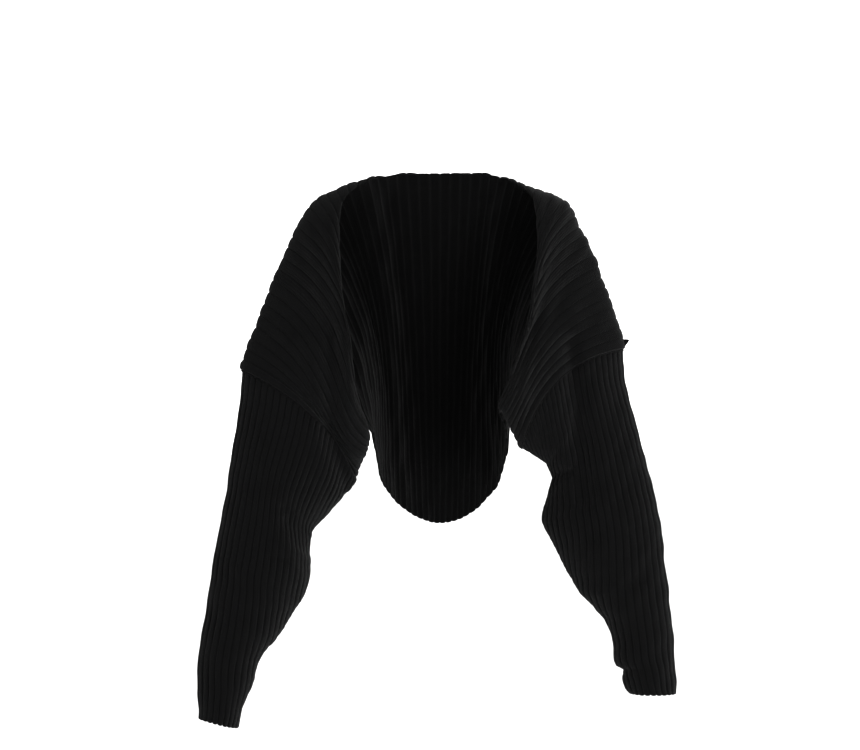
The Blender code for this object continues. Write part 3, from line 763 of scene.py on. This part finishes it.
def knitPaint(name, wales, stitches, fibres):
    # between the groove's painted shade and the rib's colour, by height share * gap share (painted shade
    # between stitches) * mottle share * patch share (the yarn's own uneven tone)
    paint = bpy.data.materials.new(name)
    paint.use_nodes = True
    tree = paint.node_tree
    shader = tree.nodes["Principled BSDF"]
    place = tree.nodes.new("ShaderNodeAttribute")
    place.attribute_name = "knitPlace"
    parts = tree.nodes.new("ShaderNodeSeparateXYZ")
    tree.links.new(place.outputs["Vector"], parts.inputs[0])
    stitch = tree.nodes.new("ShaderNodeGroup")
    stitch.node_tree = stitches
    tree.links.new(place.outputs["Vector"], stitch.inputs["Place"])
    stitch.inputs["Wales"].default_value = wales
    stitch.inputs["Row"].default_value = wool["rowPitch"]
    coordinates = tree.nodes.new("ShaderNodeTexCoord")
    fibre = tree.nodes.new("ShaderNodeGroup")
    fibre.node_tree = fibres
    tree.links.new(coordinates.outputs["Object"], fibre.inputs["Vector"])
    ribShare = tree.nodes.new("ShaderNodeMapRange")
    ribShare.interpolation_type = "SMOOTHSTEP"
    ribShare.inputs["From Max"].default_value = wool["fullRib"]
    tree.links.new(parts.outputs[2], ribShare.inputs["Value"])
    # lit is the rib colour's share, lowered by painted shade in the grooves and in the stitch gaps, and by
    # the yarn's own mottle and patches
    lit = ribShare.outputs[0]
    shades = (
        (stitch.outputs["Gap"], wool["gapShade"]),
        (fibre.outputs["Mottle"], wool["mottleShade"]),
        (fibre.outputs["Patch"], wool["patchShade"]),
    )
    for output, slopeAndStart in shades:
        lit = addMath(tree, "MULTIPLY", lit, addMath(tree, "MULTIPLY_ADD", output, *slopeAndStart))
    mix = tree.nodes.new("ShaderNodeMix")
    mix.data_type = "RGBA"
    tree.links.new(lit, mix.inputs[0])
    dark, light = colourSockets(mix.inputs)[:2]
    dark.default_value = wool["grooveShadeColour"]
    light.default_value = wool["ribColour"]
    tree.links.new(colourSockets(mix.outputs)[0], shader.inputs["Base Color"])
    rough = addMath(tree, "MULTIPLY_ADD", fibre.outputs["Mottle"], *wool["roughness"])
    tree.links.new(rough, shader.inputs["Roughness"])
    bump = tree.nodes.new("ShaderNodeBump")
    bump.inputs["Strength"].default_value = 1.0
    bump.inputs["Distance"].default_value = wool["bumpDepth"]
    heights = fibre.outputs["Height"], wool["fibreBump"], stitch.outputs["Height"]
    raised = addMath(tree, "MULTIPLY_ADD", *heights)
    tree.links.new(raised, bump.inputs["Height"])
    tree.links.new(bump.outputs["Normal"], shader.inputs["Normal"])
    shader.inputs["Specular IOR Level"].default_value = wool["specular"]
    shader.inputs["Sheen Weight"].default_value = wool["sheen"]
    shader.inputs["Sheen Roughness"].default_value = wool["sheenRoughness"]
    return paint


# A pale floor and backdrop, soft lights and the picture's own framing
studio = {
    "pictureWide": 860,
    "pictureHigh": 750,
    "mmPerPixel": 1.55,
    "originPixel": (440, 175),
    "cameraAway": 5.0,
    "sensor": 36.0,
    "white": (1.0, 1.0, 1.0, 1.0),
    "floorDown": -1.42,  # as far under the shoulders as when it is worn
    "floorHalf": 40.0,
    "floorColour": (0.95, 0.95, 0.95, 1.0),
    "floorRoughness": 0.9,
    "floorGlow": 0.12,  # so that it fades into the backdrop
    "backdrop": 1.0,
    "skyLight": 0.6,
    "look": "Very High Contrast",  # the picture's deep blacks on white
    "lights": (  # name, place, size, watts
        ("keyLight", (2.6, -3.4, 0.3), 1.8, 112),
        ("fillLight", (-3.2, -3.2, -0.3), 2.4, 46),
        ("rimLight", (1.6, 3.0, 1.4), 2.0, 60),
    ),
    "aim": (0.0, 0.0, -0.35),
}


def makeFloor():
    # one square, level and wide enough to fade out of sight
    half, down = studio["floorHalf"], studio["floorDown"]
    corners = [(-half, -half, down), (half, -half, down), (half, half, down), (-half, half, down)]
    mesh = bpy.data.meshes.new("floor")
    mesh.from_pydata(corners, [], [(0, 1, 2, 3)])
    floor = bpy.data.objects.new("floor", mesh)
    bpy.context.scene.collection.objects.link(floor)
    paint = bpy.data.materials.new("paleFloor")
    paint.use_nodes = True
    shader = paint.node_tree.nodes["Principled BSDF"]
    shader.inputs["Base Color"].default_value = studio["floorColour"]
    shader.inputs["Roughness"].default_value = studio["floorRoughness"]
    shader.inputs["Emission Color"].default_value = studio["white"]
    shader.inputs["Emission Strength"].default_value = studio["floorGlow"]
    mesh.materials.append(paint)


def makeSky():
    # the backdrop shows white, and lights the knit with less
    world = bpy.data.worlds.new("paleRoom")
    bpy.context.scene.world = world
    world.use_nodes = True
    tree = world.node_tree
    seen = tree.nodes["Background"]
    seen.inputs["Color"].default_value = studio["white"]
    seen.inputs["Strength"].default_value = studio["backdrop"]
    lit = tree.nodes.new("ShaderNodeBackground")
    lit.inputs["Color"].default_value = studio["white"]
    lit.inputs["Strength"].default_value = studio["skyLight"]
    path = tree.nodes.new("ShaderNodeLightPath")
    mix = tree.nodes.new("ShaderNodeMixShader")
    tree.links.new(path.outputs["Is Camera Ray"], mix.inputs[0])
    tree.links.new(lit.outputs[0], mix.inputs[1])
    tree.links.new(seen.outputs[0], mix.inputs[2])
    tree.links.new(mix.outputs[0], tree.nodes["World Output"].inputs["Surface"])


def makeLights():
    # each lamp is turned to the aim: tilted by the angle from straight down, then round
    for name, place, size, watts in studio["lights"]:
        lamp = bpy.data.lights.new(name, "AREA")
        lamp.energy = watts
        lamp.size = size
        holder = bpy.data.objects.new(name, lamp)
        holder.location = place
        aim = np.array(studio["aim"]) - np.array(place)
        tilt = math.atan2(math.hypot(aim[0], aim[1]), -aim[2])
        holder.rotation_euler = (tilt, 0, math.atan2(-aim[0], aim[1]))
        bpy.context.scene.collection.objects.link(holder)


def makeCamera():
    # level, its lens such that the picture is as many mm wide at the origin as its pixels say
    scale = studio["mmPerPixel"] * mm
    camera = bpy.data.cameras.new("camera")
    camera.sensor_width = studio["sensor"]
    camera.lens = studio["sensor"] * studio["cameraAway"] / (studio["pictureWide"] * scale)
    holder = bpy.data.objects.new("camera", camera)
    originX, originY = studio["originPixel"]
    overX = (studio["pictureWide"] / 2 - originX) * scale
    overZ = (originY - studio["pictureHigh"] / 2) * scale
    holder.location = (overX, -studio["cameraAway"], overZ)
    holder.rotation_euler = (math.radians(90), 0, 0)
    bpy.context.scene.collection.objects.link(holder)
    bpy.context.scene.camera = holder


makeFloor()
makeSky()
makeLights()
makeCamera()
bpy.context.scene.view_settings.view_transform = "Standard"
bpy.context.scene.view_settings.look = studio["look"]
print("studio made")

stitches, fibres = stitchGroup(), fibreGroup()
panelPaint = knitPaint("blackRibKnit", wool["panelWales"], stitches, fibres)
sleevePaint = knitPaint("blackSleeveKnit", wool["sleeveWales"], stitches, fibres)
seamPaint = knitPaint("blackSeamYarn", wool["seamWales"], stitches, fibres)
print("wool made")

ribPanel = makePanel(panelPaint)
print("panel made:", len(ribPanel.data.polygons))
sleeveNames = {-1: "sleeveLeft", 1: "sleeveRight"}
sleeves = {side: makeSleeve(side, name, sleevePaint) for side, name in sleeveNames.items()}
print("sleeves made:", [len(piece.data.polygons) for piece in sleeves.values()])
rolls = [makeSeamRoll(side, name, seamPaint) for side, name in ((-1, "seamLeft"), (1, "seamRight"))]
print("seams made:", [len(piece.data.polygons) for piece in rolls])

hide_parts("body_panel")
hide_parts("sleeve_left")
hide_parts("sleeve_right")
for piece in (ribPanel, *sleeves.values(), *rolls):
    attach(piece, "root")
